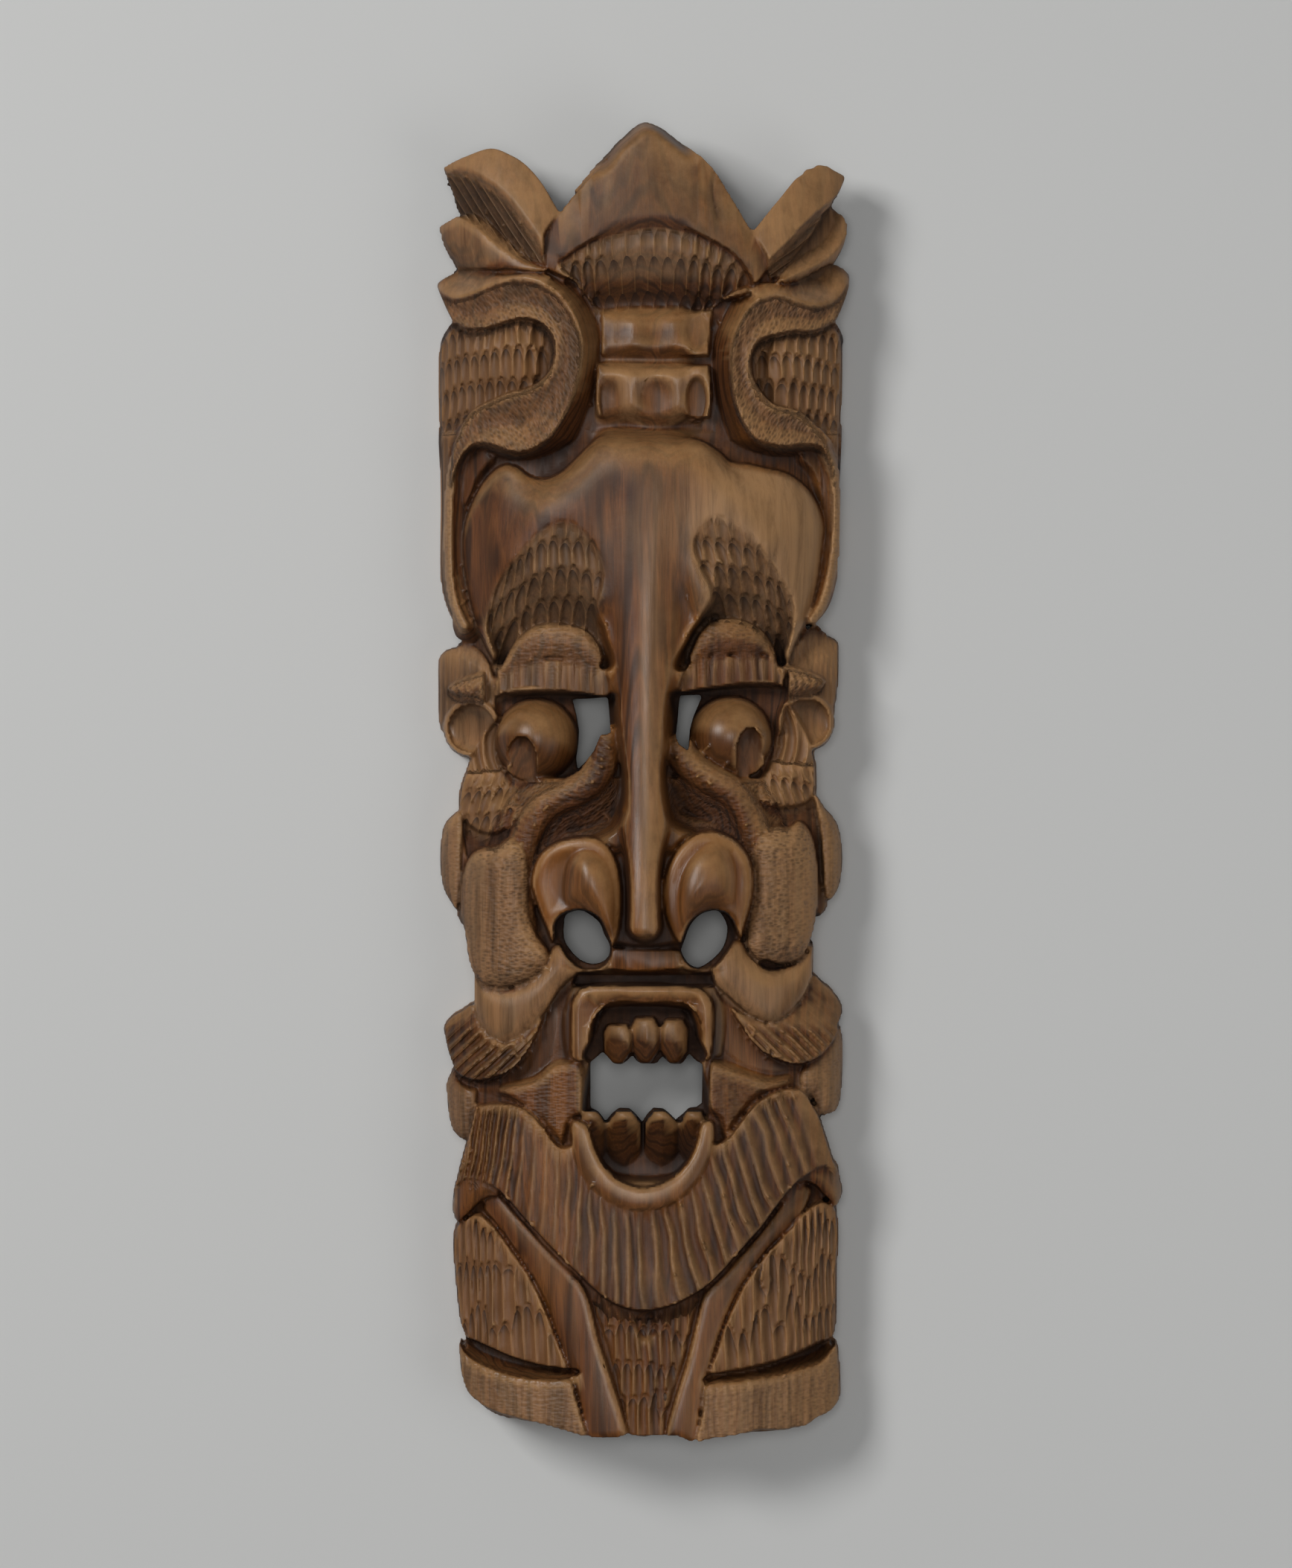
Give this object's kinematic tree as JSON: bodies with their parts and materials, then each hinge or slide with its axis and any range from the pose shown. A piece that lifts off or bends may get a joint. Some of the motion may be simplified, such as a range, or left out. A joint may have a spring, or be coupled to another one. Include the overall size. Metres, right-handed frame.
{
  "type": "carved wooden tribal mask",
  "caption": "Tall carved wooden wall mask with a grotesque face, open mouth and teeth, scrolled crown, beard and a scooped hollow back.",
  "frame": {"origin": "middle of the mask's box at the level of its flat back rim, on which it lies", "axes": "+Z out of the face, +Y towards the crown, +X towards the viewer's right when the mask is seen from the front"},
  "size_m": [0.2771, 0.8853, 0.1227],
  "materials": {
    "carved_hardwood": "waxed satin, dark patina in the cuts"
  },
  "bodies": {
    "root": {"mask": "carved_hardwood"}
  },
  "joints": []
}
